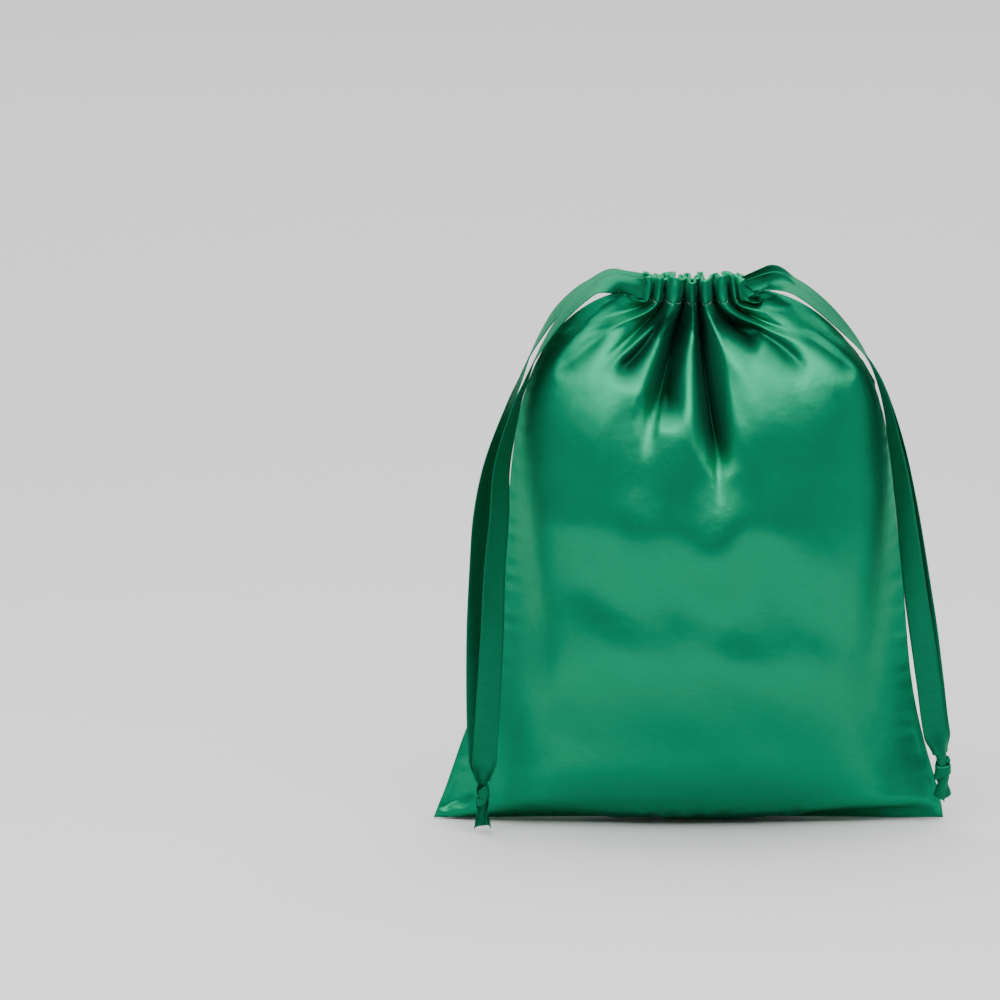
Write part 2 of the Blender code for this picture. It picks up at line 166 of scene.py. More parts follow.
def path_lengths(points):
    """How far along a line of points each one is."""
    steps = np.linalg.norm(np.diff(points[:, :3], axis=0), axis=1)
    return np.concatenate([[0], np.cumsum(steps)])


def smooth_curve(points, count):
    """count evenly spaced points on a Catmull-Rom curve through the points."""
    points = np.array(points, float)
    dense = catmull(points, np.linspace(0, len(points) - 1, 24 * len(points)))
    along = path_lengths(dense)
    want = np.linspace(0, along[-1], count)
    return np.stack([np.interp(want, along, column) for column in dense.T], 1)


def tenths(rows):
    """Rows of numbers in tenths of a millimetre, as metres."""
    return np.array(rows) / 10000


def smoothstep(value, low, high):
    t = np.clip((value - low) / (high - low), 0, 1)
    return t * t * (3 - 2 * t)


def unit(vectors):
    length = np.linalg.norm(vectors, axis=-1, keepdims=True)
    return vectors / np.maximum(length, 1e-12)


# ---- mesh helpers
def configure(item, **values):
    """Sets each of an item's named properties."""
    for key, value in values.items():
        setattr(item, key, value)


def plain_object(name, points, faces):
    mesh = bpy.data.meshes.new(name)
    mesh.from_pydata(points, [], faces)
    mesh.update()
    obj = bpy.data.objects.new(name, mesh)
    scene.collection.objects.link(obj)
    return obj


def make_object(name, points, faces, uvs, materials, face_slots=None):
    """A smooth mesh object from arrays; uvs hold one pair for each point."""
    obj = plain_object(name, np.asarray(points, float).tolist(), faces)
    mesh = obj.data
    for finish in materials:
        mesh.materials.append(finish)
    if face_slots is not None:
        mesh.polygons.foreach_set("material_index", face_slots)
    layer = mesh.uv_layers.new(name="cloth")
    index = np.empty(len(mesh.loops), np.int32)
    mesh.loops.foreach_get("vertex_index", index)
    layer.data.foreach_set("uv", np.asarray(uvs, np.float32)[index].ravel())
    mesh.shade_smooth()
    mesh.update()
    shape = bmesh.new()
    shape.from_mesh(mesh)
    if shape.calc_volume(signed=True) < 0:
        mesh.flip_normals()
    shape.free()
    return obj


def sharpen(mesh, chosen):
    """Marks the chosen edges sharp, so that end faces don't dull the sides."""
    for edge in mesh.edges:
        if chosen(*edge.vertices):
            edge.use_edge_sharp = True


def grid_normals(grid):
    return unit(np.cross(np.gradient(grid, axis=1), np.gradient(grid, axis=0)))


def outward(grid, side, level=False):
    """Directions out of a panel's face; level ones don't rise or fall."""
    normals = grid_normals(grid) * -side
    if level:
        normals[..., 2] = 0
        normals = unit(normals)
    return normals


def grid_quads(ids):
    """The quads between neighbouring points of a grid of point numbers."""
    quads = np.stack([ids[:-1, :-1], ids[:-1, 1:], ids[1:, 1:], ids[1:, :-1]], -1)
    return quads.reshape(-1, 4)


def tube_faces(count, around, base=0):
    """The faces of a tube through count rings of points, then its two caps."""
    ids = base + np.arange(count * around).reshape(count, around)
    turned = np.roll(ids, -1, axis=1)
    faces = np.stack([ids[:-1], turned[:-1], turned[1:], ids[1:]], -1)
    return faces.reshape(-1, 4).tolist() + [ids[0, ::-1].tolist(), ids[-1].tolist()]


def thick_sheet(name, grid, uv, thickness, materials, flip=False):
    """A closed sheet: the grid is its face, and the other side lies behind."""
    behind = grid - grid_normals(grid) * (-1 if flip else 1) * thickness
    points = np.concatenate([grid.reshape(-1, 3), behind.reshape(-1, 3)])
    uvs = np.concatenate([uv.reshape(-1, 2)] * 2)
    ids = np.arange(grid.shape[0] * grid.shape[1]).reshape(grid.shape[:2])
    face = grid_quads(ids)
    edge = np.concatenate([ids[0, :], ids[1:, -1], ids[-1, -2::-1], ids[-2::-1, 0]])
    rim = np.stack([edge[1:], edge[:-1], edge[:-1] + ids.size, edge[1:] + ids.size], -1)
    groups = [face, face[:, [0, 3, 2, 1]] + ids.size, rim]
    faces = np.concatenate(groups)[:, ::-1 if flip else 1].tolist()
    slots = np.repeat([0, 1, 0], [len(group) for group in groups])
    slots = np.minimum(slots, len(materials) - 1).astype(np.int32)
    obj = make_object(name, points, faces, uvs, materials, slots)
    border = set(edge.tolist())
    sharpen(obj.data, lambda a, b: a in border and b in border)
    return obj


def sweep(name, rings, uv_rings, materials):
    """A closed tube through rings of points, with flat ends."""
    rings = np.asarray(rings)
    count, around = rings.shape[:2]
    obj = make_object(name, rings.reshape(-1, 3), tube_faces(count, around),
                      np.asarray(uv_rings).reshape(-1, 2), materials)
    last = (count - 1) * around
    sharpen(obj.data, lambda a, b: max(a, b) < around or min(a, b) >= last)
    return obj


# ---- materials
def set_inputs(tree, made, inputs):
    """Links each input that is given a socket, and sets each other one."""
    for key, value in inputs:
        if isinstance(value, bpy.types.NodeSocket):
            tree.links.new(value, made.inputs[key])
        else:
            made.inputs[key].default_value = value


def node(tree, kind, inputs=(), **settings):
    made = tree.nodes.new(kind)
    configure(made, **settings)
    set_inputs(tree, made, inputs)
    return made


def weave_height(tree, place, weft, warp):
    """Height of fine threads: warp floats crossed by narrow weft."""
    rows, columns = (
        node(tree, "ShaderNodeTexWave", (
            ("Vector", place), ("Scale", scale), ("Distortion", drift), ("Detail", 1.0),
            ("Detail Scale", wobble)), bands_direction=way).outputs["Fac"]
        for scale, drift, wobble, way in ((weft, 0.6, 0.4, "Y"), (warp, 0.8, 0.3, "X")))
    both = node(tree, "ShaderNodeMath", ((0, rows), (1, WEFT_SHARE), (2, columns)),
                operation="MULTIPLY_ADD")
    return both.outputs[0]


def stretched_noise(tree, place, scale, detail, roughness):
    mapping = node(tree, "ShaderNodeMapping", (("Vector", place), ("Scale", scale)))
    noise = node(tree, "ShaderNodeTexNoise", (
        ("Vector", mapping.outputs["Vector"]), ("Scale", 1.0), ("Detail", detail),
        ("Roughness", roughness)))
    return noise.outputs["Fac"]


def ramp(tree, factor, low, high):
    """low up to a factor of 0.3, high from 0.7, and a blend between them."""
    made = node(tree, "ShaderNodeValToRGB", (("Fac", factor),))
    for stop, place, colour in zip(made.color_ramp.elements, (0.3, 0.7), (low, high)):
        configure(stop, position=place, color=colour)
    return made.outputs["Color"]


def bump(tree, strength, distance, height, *normal):
    made = node(tree, "ShaderNodeBump", (
        ("Strength", strength), ("Distance", distance), ("Height", height),
        *(("Normal", under) for under in normal)))
    return made.outputs["Normal"]


def grey(value):
    return (value, value, value, 1.0)


def new_material(name):
    """A material, its node tree, its shader and its texture coordinates."""
    made = bpy.data.materials.new(name)
    made.use_nodes = True
    tree = made.node_tree
    places = node(tree, "ShaderNodeTexCoord").outputs
    return made, tree, tree.nodes["Principled BSDF"], places


WEFT_SHARE = 0.45           # the weft's height beside the warp floats'
PAINTED_SHADOW_COLOUR = (0.001, 0.028, 0.013, 1.0)  # painted shadow: the satin's colour at the bottom of a fold


def satin(name, deep, bright, roughness, metal, anisotropy, weft=1100.0,
          warp=1500.0, weave=0.25, sheen=0.08, crumple=0.0005):
    """Satin: threads, slubs, soft creases, a painted shadow in the folds and a coloured
    directional gloss.
    """
    made, tree, shader, places = new_material(name)
    slub = stretched_noise(tree, places["UV"], (110.0, 1500.0, 1.0), 4.0, 0.6)
    cloud = stretched_noise(tree, places["Object"], (28.0, 28.0, 40.0), 3.0, 0.5)
    crease = stretched_noise(tree, places["Object"], (55.0, 55.0, 45.0), 4.0, 0.55)
    # Painted shadow: the colour is mixed towards the dark fold colour by the folds' point
    # attribute.
    painted_shade = node(tree, "ShaderNodeAttribute", attribute_name="painted_fold_shadow")
    colour = node(tree, "ShaderNodeMix", (
        (0, painted_shade.outputs["Fac"]), (6, ramp(tree, slub, deep, bright)),
        (7, PAINTED_SHADOW_COLOUR)), data_type="RGBA")
    soft = bump(tree, 0.6, crumple, crease)
    threads = weave_height(tree, places["UV"], weft, warp)
    set_inputs(tree, shader, (
        ("Base Color", colour.outputs[2]),
        ("Roughness", ramp(tree, cloud, grey(roughness * 0.88), grey(roughness * 1.12))),
        ("Normal", bump(tree, weave, 0.00006, threads, soft)),
        ("Metallic", metal), ("Anisotropic", anisotropy), ("Sheen Weight", sheen),
        ("Sheen Roughness", 0.45), ("Sheen Tint", (0.1, 0.8, 0.5, 1.0)),
        ("Specular Tint", (0.2, 0.9, 0.6, 1.0)), ("Specular IOR Level", 0.4)))
    return made


def thread(name, colour):
    """Twisted thread: slanting strands, with painted shade darkening the grooves between them."""
    made, tree, shader, places = new_material(name)
    twist = node(tree, "ShaderNodeTexWave", (
        ("Vector", places["UV"]), ("Scale", 500.0), ("Distortion", 0.2)),
        bands_direction="DIAGONAL").outputs["Fac"]
    # Painted shade: the grooves take the thread's colour darkened.
    shadow_paint = tuple(0.6 * c for c in colour[:3]) + (1.0,)
    set_inputs(tree, shader, (
        ("Base Color", ramp(tree, twist, shadow_paint, colour)),
        ("Normal", bump(tree, 0.6, 0.0001, twist)), ("Roughness", 0.5), ("Sheen Weight", 0.2)))
    return made


SATIN = satin("green_satin", (0.003, 0.21, 0.1, 1), (0.0042, 0.245, 0.117, 1),
              0.37, 0.76, 0.45, crumple=0.001)
REVERSE = satin("green_satin_reverse", (0.003, 0.1, 0.048, 1),
                (0.004, 0.125, 0.06, 1), 0.62, 0.1, 0.0, weave=0.5, sheen=0.1)
RIBBON = satin("green_ribbon", (0.002, 0.115, 0.053, 1), (0.0028, 0.14, 0.065, 1),
               0.36, 0.65, 0.4, weft=900.0, warp=1300.0, weave=0.35, crumple=0.0002)
THREAD = thread("light_green_thread", (0.2, 0.6, 0.4, 1))
OVERLOCK = thread("overlock_thread", (0.02, 0.26, 0.14, 1))


# ---- cloth pleating
# Each casing's valleys: place across its gathered width, share of the full
# depth, and half width, in metres.
VALLEYS = {
    FRONT: ((-0.0212, 0.58, 0.0013), (-0.015, 1.05, 0.0016),
            (-0.0046, 1.3, 0.0017), (0.0026, 1.2, 0.0015),
            (0.0108, 1.2, 0.0016), (0.0186, 0.85, 0.0015), (0.0229, 0.5, 0.0011)),
    BACK: ((-0.0222, 0.6, 0.0012), (-0.0158, 0.95, 0.0016),
           (-0.0066, 1.2, 0.0017), (0.0012, 1.2, 0.0015),
           (0.0092, 1.1, 0.0017), (0.0165, 0.9, 0.0015), (0.0219, 0.55, 0.0012)),
}
NECK_WIDTH = 0.05
NECK_DEPTH = 0.018
NECK_TOP = 0.269

# The filling that holds the sack open, in tenths of a millimetre: height, half
# width, half depth, and how far its middle stands off the middle of the sack.
FILLING = (
    (60, 500, 100, 0), (100, 660, 180, 0), (180, 770, 260, 0), (300, 830, 340, 5),
    (580, 870, 440, 15), (840, 885, 500, 30), (1090, 890, 520, 40), (1340, 890, 520, 45),
    (1590, 890, 500, 45), (1840, 880, 450, 45), (2070, 860, 370, 45), (2220, 830, 290, 45),
    (2330, 775, 210, 45), (2420, 680, 140, 40), (2475, 580, 90, 35), (2505, 450, 50, 30))
SECTION_POWER = 2.3


def pleat_path(width, depth, side, places):
    """A panel's gathered line seen from above, read at shares of its length."""
    share = np.linspace(-0.5, 0.5, 1601)
    wave = 0.07 * np.cos(2 * np.pi * share * 9) + 0.05 * np.sin(2 * np.pi * share * 13)
    for place, deep, half in VALLEYS[side]:
        offset = (share - place / (NECK_WIDTH + 0.001)) * NECK_WIDTH
        wave -= deep * np.exp(-(offset / half) ** 2)
    bow = side * depth * (1 - 0.55 * (2 * share) ** 2)
    low, high = 0.0, 0.05
    for _ in range(50):
        amount = (low + high) / 2
        x, y = share * width, bow + side * amount * wave
        along = np.concatenate([[0], np.cumsum(np.hypot(np.diff(x), np.diff(y)))])
        low, high = (low, amount) if along[-1] > PANEL_WIDTH else (amount, high)
    along /= along[-1]
    return np.interp(places, along, x), np.interp(places, along, y)


def neck_size(t):
    """Width and half depth of the casing line as the ribbons are drawn in."""
    width = min(PANEL_WIDTH * (1 - t) + NECK_WIDTH * t, PANEL_WIDTH * 0.985)
    flat, early = 0.03, 0.15
    if t > early:
        return width, flat * (1 - t) + NECK_DEPTH * t
    return width, flat * t / early * (1 - early) + NECK_DEPTH * t


def flat_sack(columns, rows):
    """The sack lying flat, stood on its seam: points, faces and grid ids."""
    across = np.linspace(0, 1, columns + 1)
    up = np.linspace(0, PANEL_HEIGHT, rows + 1)
    seam_rows = int(round((PANEL_HEIGHT - SLIT) / PANEL_HEIGHT * rows))
    points, faces, ids = [], [], {}
    for side in (FRONT, BACK):
        grid = np.zeros((rows + 1, columns + 1), int)
        for j, height in enumerate(up):
            for i, share in enumerate(across):
                edge = i in (0, columns)
                if side == BACK and (j == 0 or (edge and j <= seam_rows)):
                    grid[j, i] = ids[FRONT][j, i]
                    continue
                belly = 0.01 * math.sin(math.pi * share) * min(1, height / 0.05)
                if side == BACK and edge:
                    belly += 0.0005
                grid[j, i] = len(points)
                points.append(((share - 0.5) * PANEL_WIDTH, side * belly, height + LIFT))
        ids[side] = grid
        faces += grid_quads(grid)[:, ::-side].tolist()
    return np.array(points), faces, ids, across, up


def filling_object():
    angles = np.linspace(0, 2 * math.pi, 40, endpoint=False)
    across, deep = (np.sign(wave) * np.abs(wave) ** (2 / SECTION_POWER)
                    for wave in (np.cos(angles), np.sin(angles)))
    points = [(middle + width * a, depth * d, z) for z, width, depth, middle in tenths(FILLING)
              for a, d in zip(across, deep)]
    return plain_object("filling", points, tube_faces(len(FILLING), len(angles)))


def add_collider(obj, outer, inner, friction):
    obj.modifiers.new("collider", "COLLISION")
    configure(obj.collision, thickness_outer=outer, thickness_inner=inner,
              cloth_friction=friction, damping=0.5)


def key_filling(obj, last):
    """Swells the filling from a thin core to its full size."""
    first = 5
    for frame_number, scale, lift in (
            (first, (0.55, 0.08, 0.75), 0.012),
            (int(first + (last - first) * 0.75), (0.9, 0.75, 0.92), 0.006), (last, (1, 1, 1), 0)):
        configure(obj, scale=scale, location=(0, 0, lift))
        obj.keyframe_insert("scale", frame=frame_number)
        obj.keyframe_insert("location", frame=frame_number)


def key_drawing(obj, points, ids, across, up, driven, drawing):
    """Shape keys that draw the held rows in along the gathered line."""
    obj.shape_key_add(name="flat")
    for k in range(1, STAGES + 1):
        t = k / STAGES
        moved = points.copy()
        top = PANEL_HEIGHT * (1 - t) + NECK_TOP * t
        for side in (FRONT, BACK):
            x, y = pleat_path(*neck_size(t), side, across)
            for j in driven:
                moved[ids[side][j]] = np.stack(
                    [x, y, np.full_like(x, top - PANEL_HEIGHT + up[j] + LIFT)], 1)
        key = obj.shape_key_add(name=f"drawn_{k}")
        key.data.foreach_set("co", moved.astype(np.float32).ravel())
    keys = obj.data.shape_keys
    keys.use_relative = False
    for block, frame_number in ((keys.key_blocks[0], 1), (keys.key_blocks[-1], drawing)):
        keys.eval_time = block.frame
        keys.keyframe_insert("eval_time", frame=frame_number)
    for curve in keys.animation_data.action.fcurves:
        for point in curve.keyframe_points:
            point.interpolation = "LINEAR"


STAGES = 14                 # shapes between the flat and the gathered casing
LIFT = 0.002                # how far above the ground the flat sack starts


def simulate_sack(columns, rows, drawing, settling):
    """Gathers the flat sack at its casings while the filling grows inside."""
    points, faces, ids, across, up = flat_sack(columns, rows)
    obj = plain_object("sack_cloth", points.tolist(), faces)
    driven = [j for j in range(rows + 1)
              if PANEL_HEIGHT - CASING - 0.0005 <= up[j] <= PANEL_HEIGHT - 0.003]
    held = obj.vertex_groups.new(name="held")
    for side in (FRONT, BACK):
        held.add(ids[side][driven].ravel().tolist(), 1.0, "REPLACE")
    held.add(ids[FRONT][0].tolist(), 1.0, "REPLACE")
    key_drawing(obj, points, ids, across, up, driven, drawing)
    ground = plain_object("ground", [(-1, -1, 0), (1, -1, 0), (1, 1, 0), (-1, 1, 0)],
                          [(0, 1, 2, 3)])
    add_collider(ground, 0.001, 0.2, 5)
    filling = filling_object()
    add_collider(filling, 0.001, 0.004, 5)
    key_filling(filling, int(drawing * 0.9))
    cloth = obj.modifiers.new("cloth", "CLOTH")
    configure(cloth.settings, quality=7, mass=0.02, air_damping=1.0,
              compression_stiffness=15, tension_stiffness=15, shear_stiffness=5,
              bending_stiffness=20, compression_damping=1, tension_damping=1,
              shear_damping=1, bending_damping=0.5, vertex_group_mass="held", use_pressure=True)
    configure(cloth.collision_settings, distance_min=0.0012, use_self_collision=True,
              self_distance_min=0.0012, collision_quality=3)
    last = drawing + settling
    configure(cloth.point_cache, frame_start=1, frame_end=last)
    configure(scene, frame_start=1, frame_end=last)
    pressure = 'modifiers["cloth"].settings.uniform_pressure_force'
    for force, frame_number in ((0.0, 1), (3.0, 20)):
        cloth.settings.uniform_pressure_force = force
        obj.keyframe_insert(pressure, frame=frame_number)
    for frame_number in range(1, last + 1):
        scene.frame_set(frame_number)
    settled = obj.evaluated_get(bpy.context.evaluated_depsgraph_get())
    found = np.empty(len(points) * 3, np.float32)
    settled.data.vertices.foreach_get("co", found)
    found = found.reshape(-1, 3).astype(float)
    for helper in (obj, ground, filling):
        bpy.data.objects.remove(helper, do_unlink=True)
    for action in list(bpy.data.actions):
        bpy.data.actions.remove(action)
    scene.frame_set(1)
    return {side: found[ids[side]] for side in (FRONT, BACK)}


sack = simulate_sack(64, 76, 55, 15)

# ---- fine surfaces
COLUMNS = 176
BODY_ROWS = 150
CASING_ROWS = 22
TURNED_ROWS = 20

# The long folds below the gathers, in tenths of a millimetre: top x and z, end x
# and z, depth, half width, and sideways bow.
FOLDS = {
    FRONT: (
        (-40, 2520, -150, 2010, 150, 56, -10), (30, 2540, 145, 1800, 140, 44, -30),
        (-150, 2500, -390, 2230, 110, 50, 20), (120, 2500, 330, 2360, 85, 44, 10),
        (230, 2480, 560, 2250, 60, 42, 20), (520, 2430, 800, 2240, 35, 42, 10),
        (-420, 2450, -680, 2240, 28, 45, 10)),
    BACK: (
        (70, 2520, 150, 1980, 135, 52, 20), (-50, 2520, -100, 2080, 115, 46, 20),
        (200, 2500, 420, 2220, 90, 48, -20), (-240, 2480, -500, 2230, 65, 45, 20),
        (-560, 2420, -760, 2220, 35, 45, 10), (580, 2420, 800, 2220, 35, 45, 10)),
}


def blur(grid, cells):
    """Gaussian smoothing in both directions that keeps the edges in place."""
    reach = int(math.ceil(3 * cells))
    kernel = np.exp(-0.5 * (np.arange(-reach, reach + 1) / cells) ** 2)
    kernel /= kernel.sum()
    for axis in (0, 1):
        moved = np.moveaxis(grid, axis, 0)
        low = 2 * moved[:1] - moved[reach:0:-1]
        high = 2 * moved[-1:] - moved[-2:-reach - 2:-1]
        padded = np.concatenate([low, moved, high])
        moved = sum(weight * padded[k:k + len(moved)] for k, weight in enumerate(kernel))
        grid = np.moveaxis(moved, 0, axis)
    return grid


# Each side seam's line from its bottom corner to the slit, as (x, z) in tenths
# of a millimetre.
SEAM_LINES = (
    ((-1262, 12), (-1233, 90), (-1189, 190), (-1157, 290), (-1125, 390), (-1087, 495),
     (-1042, 590), (-978, 790), (-925, 1090), (-907, 1340), (-894, 1590), (-874, 1840),
     (-836, 2070), (-792, 2205), (-742, 2330), (-640, 2465), (-540, 2548), (-430, 2610),
     (-335, 2640)),
    ((1246, 12), (1236, 90), (1212, 190), (1174, 290), (1148, 390), (1122, 495), (1099, 590),
     (1070, 790), (1045, 1090), (1018, 1340), (990, 1590), (965, 1840), (925, 2070),
     (857, 2235), (772, 2363), (707, 2435), (588, 2540), (465, 2607), (335, 2642)),
)
SEAM_HOLD = 0.045           # how far a seam carries the cloth beside it
GATHER_START = 0.258        # flat height where most of the gathers run out
# How much further down each valley's fold runs, in metres of cloth.
FOLD_REACH = {
    FRONT: (0.018, 0.022, 0.058, 0.078, 0.01, 0.014, 0.024),
    BACK: (0.014, 0.022, 0.045, 0.07, 0.03, 0.012, 0.018),
}
FOLD_SPREAD = 0.042         # half width of a fold, as a share of the panel
SWELL_PLACE = 0.13
SWELL_PITCH = 0.075
FULL_PAINTED_SHADE = 0.01           # a fold this deep gets the full painted shadow


def settle_seams(grids):
    """Lays the side seams on their lines and carries the cloth beside them."""
    rows, columns = (n - 1 for n in grids[FRONT].shape[:2])
    top = int(round((PANEL_HEIGHT - SLIT) / PANEL_HEIGHT * rows))
    stitch = first_driven(rows)
    away = np.linspace(0, PANEL_WIDTH, columns + 1)
    for line, column in zip(SEAM_LINES, (0, -1)):
        target = smooth_curve([(x, 0, z) for x, z in tenths(line)], top + 1)
        hold = np.exp(-(away[::-1 if column else 1] / SEAM_HOLD) ** 2)
        for side in (FRONT, BACK):
            delta = np.zeros((rows + 1, 3))
            delta[:top + 1] = target - grids[side][:top + 1, column]
            for j in range(top + 1, stitch):
                delta[j] = delta[top] * (1 - smoothstep(j, top, stitch))
            grids[side] = grids[side] + delta[:, None] * hold[None, :, None]


def first_driven(rows):
    """The lowest row that the ribbons hold, at the casing's stitches."""
    up = np.linspace(0, PANEL_HEIGHT, rows + 1)
    return int(np.argmax(up >= PANEL_HEIGHT - CASING - 0.0005))


def valley_places(side):
    """Each valley's place across the panel, as a share of its cloth."""
    share = np.linspace(0, 1, 2001)
    x, y = pleat_path(NECK_WIDTH, NECK_DEPTH, side, share)
    found = []
    for place, _, half in VALLEYS[side]:
        near = np.abs(x - place * NECK_WIDTH / (NECK_WIDTH + 0.001)) < 1.2 * half
        deepest = np.where(near, -side * y, -1)
        found.append(share[int(np.argmax(deepest))])
    return found


def draw_gathers(grid, side):
    """Runs each column of cloth smoothly from the filled part to the casing."""
    rows, columns = grid.shape[0] - 1, grid.shape[1] - 1
    step = PANEL_HEIGHT / rows
    across = np.linspace(0, 1, columns + 1)
    start = np.full(columns + 1, GATHER_START)
    for place, reach in zip(valley_places(side), FOLD_REACH[side]):
        start -= reach * np.exp(-((across - place) / FOLD_SPREAD) ** 2)
    edge = np.minimum(across, 1 - across) * PANEL_WIDTH
    start += (PANEL_HEIGHT - SLIT - start) * np.exp(-(edge / 0.016) ** 2)
    high = first_driven(rows)
    grid = grid.copy()
    for i in range(columns + 1):
        low = start[i] / step
        here, below = catmull(grid[:, i], [low, low - 1.0])
        length = high - low
        leave = (here - below) * length * 0.9
        arrive = np.array([0, 0, step]) * length * 0.45
        first = int(math.ceil(low))
        t = ((np.arange(first, high) - low) / length)[:, None]
        grid[first:high, i] = (
            (2 * t ** 3 - 3 * t ** 2 + 1) * here + (t ** 3 - 2 * t ** 2 + t) * leave
            + (3 * t ** 2 - 2 * t ** 3) * grid[high, i] + (t ** 3 - t ** 2) * arrive)
    return grid


def fold_depth_and_painted_shadow(x, z, side):
    """How far the long folds are pressed in at each place, and the painted shadow that darkens
    their valleys.
    """
    push, painted_shade = np.zeros_like(x), np.zeros_like(x)
    for x0, z0, x1, z1, depth, width, bow in tenths(FOLDS[side]):
        run = np.array([x1 - x0, z1 - z0])
        length = np.linalg.norm(run)
        run /= length
        t = ((x - x0) * run[0] + (z - z0) * run[1]) / length
        off = (x - x0) * run[1] - (z - z0) * run[0]
        off = off - bow * np.sin(np.pi * np.clip(t, 0, 1)) * np.sign(run[1])
        spread = width * (0.75 + 0.35 * smoothstep(t, 0.0, 0.8))
        strength = smoothstep(t, -0.1, 0.25) * (1 - smoothstep(t, 0.72, 1.02))
        valley = strength * np.exp(-np.abs(off / spread) ** 1.6)
        ridge = strength * np.exp(-((np.abs(off) - 2.3 * spread) / spread) ** 2)
        push += depth * (valley - 0.1 * ridge)
        # Painted shadow along each fold's valley, from just above its top to near its end.
        shadow_paint = smoothstep(t, -0.3, -0.05) * (1 - smoothstep(t, 0.72, 1.0))
        shadow_paint = shadow_paint * np.exp(-np.abs(off / (0.95 * spread)) ** 2.2)
        painted_shade = np.maximum(painted_shade, shadow_paint * min(1.0, depth / FULL_PAINTED_SHADE))
    return push, painted_shade


def add_folds(grid, side):
    """Presses the long folds that run down from the gathers into a panel."""
    push = fold_depth_and_painted_shadow(grid[..., 0], grid[..., 2], side)[0]
    grid = grid.copy()
    grid[..., 1] -= side * push * smoothstep(grid[..., 2], 0.2575, 0.246)
    return grid


SWELL = {FRONT: 0.002, BACK: 0.0009}  # half height of the body's swells


def undulate(grid, side):
    """Slow swells up the filled body, as soft cloth sags between its threads."""
    x, z = grid[..., 0], grid[..., 2]
    wander = 0.9 * np.sin(x / 0.034 + side) + 0.5 * np.sin(x / 0.017 - 2 * side)
    beat = 2 * np.pi * (z - SWELL_PLACE) / SWELL_PITCH + wander
    swell = SWELL[side] * np.sin(beat)
    swell += 0.0005 * np.sin(z / 0.0068 + x / 0.012) * np.sin(x / 0.021 + 1.0)
    inside = smoothstep(z, 0.018, 0.05) * smoothstep(z, 0.184, 0.15)
    inside = inside * smoothstep(0.095 - np.abs(x), 0.0, 0.03)
    grid = grid.copy()
    grid[..., 1] += side * swell * inside
    return grid


def seam_puckers(grid, arc, side):
    """Small gathers where the side seams' stitching draws the cloth in."""
    z = grid[..., 2]
    push = np.zeros_like(z)
    for phase, from_edge in ((0.4 + side, arc), (2.1 - side, PANEL_WIDTH - arc)):
        beat = (np.sin(2 * np.pi * z / 0.0105 + 1.4 * np.sin(z / 0.017 + phase))
                + 0.6 * np.sin(2 * np.pi * z / 0.0068 + phase * 3))
        away = from_edge[None, :]
        push += 0.00042 * beat * np.exp(-away / 0.0075) * (1 - np.exp(-away / 0.002))
    push *= smoothstep(z, 0.006, 0.02) * smoothstep(z, 0.256, 0.246)
    return grid + outward(grid, side) * push[..., None]


BAND = 0.02                 # height of the finer rows at a panel's top


def fine_panel(side):
    """A panel's outer face, seam to turned edge, with its flat places."""
    grid = sack[side]
    height = grid[..., 2:3]
    softer, softest = blur(grid, 2.2), blur(grid, 3.0)
    grid = grid + (softer - grid) * smoothstep(height, 0.004, 0.02)
    grid = grid + (softest - grid) * smoothstep(height, 0.13, 0.19)
    held = first_driven(len(grid) - 1)
    grid[held:] = sack[side][held:]
    grid = draw_gathers(grid, side)
    rows, columns = grid.shape[0] - 1, grid.shape[1] - 1
    low = np.linspace(0, PANEL_HEIGHT - BAND, BODY_ROWS, endpoint=False)
    up = np.concatenate([low, np.linspace(PANEL_HEIGHT - BAND, PANEL_HEIGHT, CASING_ROWS)])
    across = np.linspace(0, PANEL_WIDTH, COLUMNS + 1)
    grid = catmull(grid, up / PANEL_HEIGHT * rows)
    grid = catmull(grid.transpose(1, 0, 2), across / PANEL_WIDTH * columns)
    grid = undulate(add_folds(grid.transpose(1, 0, 2), side), side)
    grid = seam_puckers(grid, across, side)
    grid[..., 2] -= 0.001 * smoothstep(grid[..., 2], 0.03, 0.004)
    grid[..., 2] = np.maximum(grid[..., 2], 0.0004)
    return grid, across, up


CASING_TAPER = 0.1          # how much narrower the turned edge is drawn


def casing_shape(grid, up, side):
    """Rounds the casing between its stitch row and the turned edge."""
    from_top = PANEL_HEIGHT - up
    inside = np.clip(1 - from_top / CASING, 0, 1)
    bulge = 0.0005 * np.sin(np.pi * inside) * (from_top < CASING)
    dip = 0.0004 * np.exp(-((from_top - CASING) / 0.0009) ** 2)
    tuck = 0.0003 * smoothstep(from_top, 0.0012, 0.0)
    grid = grid + outward(grid, side, True) * (bulge - dip - tuck)[:, None, None]
    rise = smoothstep(from_top, CASING + 0.004, 0.0)[:, None]
    x = grid[..., 0]
    lift = (0.0007 * np.sin(x / 0.0041 + 2 * side) + 0.0005 * np.sin(x / 0.0023)
            - 0.0016 * np.exp(-(x / 0.011) ** 2) - 0.0012 * (side == BACK))
    grid[..., 2] += rise * lift
    grid[..., 0] = x * (1 - CASING_TAPER * rise)
    return grid


TURN_RADIUS = 0.0014        # how far down the casing's top edge is rounded
EDGE_GAP = 0.0004           # ply to ply where the casing closes


